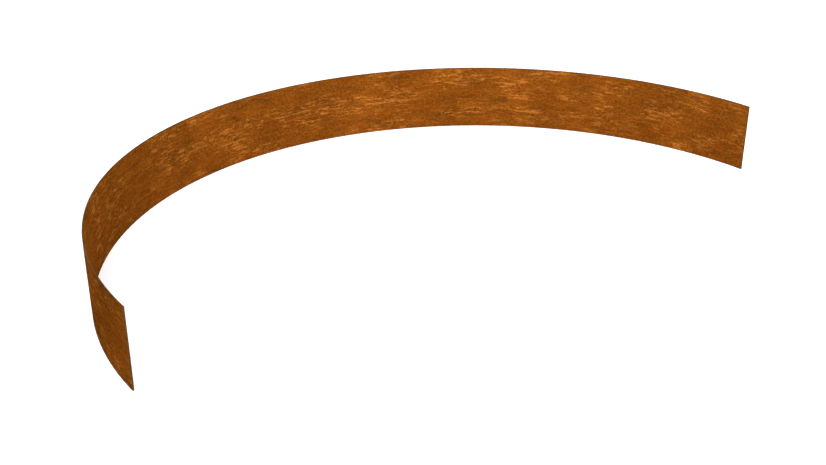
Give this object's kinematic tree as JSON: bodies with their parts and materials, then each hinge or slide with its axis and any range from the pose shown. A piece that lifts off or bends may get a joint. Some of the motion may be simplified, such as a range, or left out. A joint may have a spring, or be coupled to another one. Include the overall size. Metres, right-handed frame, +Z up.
{
  "type": "curved landscape edging",
  "caption": "Half-ring landscape edging of thin weathering steel: two rolled panels joined by a plate on the convex back, with sockets for ground stakes.",
  "frame": {"origin": "middle of the footprint, on the ground under the bottom edge", "axes": "+Z up; the open side of the half ring faces -Y and the back of the curve +Y; X = 0 is the plane of symmetry; the arc's centre is at x 0, y -0.5076"},
  "size_m": [2, 1.0152, 0.2],
  "materials": {
    "weathering_steel": "matte",
    "stainless_steel": "satin"
  },
  "bodies": {
    "root": {"left_panel": "weathering_steel", "right_panel": "weathering_steel", "joint_plate": "weathering_steel", "weld_stud_1": "stainless_steel", "weld_stud_2": "stainless_steel", "weld_stud_3": "stainless_steel", "weld_stud_4": "stainless_steel", "wide_washer_1": "stainless_steel", "wide_washer_2": "stainless_steel", "wide_washer_3": "stainless_steel", "wide_washer_4": "stainless_steel", "hex_nut_1": "stainless_steel", "hex_nut_2": "stainless_steel", "hex_nut_3": "stainless_steel", "hex_nut_4": "stainless_steel", "stake_socket_1": "weathering_steel", "stake_socket_2": "weathering_steel", "stake_socket_3": "weathering_steel", "stake_socket_4": "weathering_steel"}
  },
  "joints": []
}
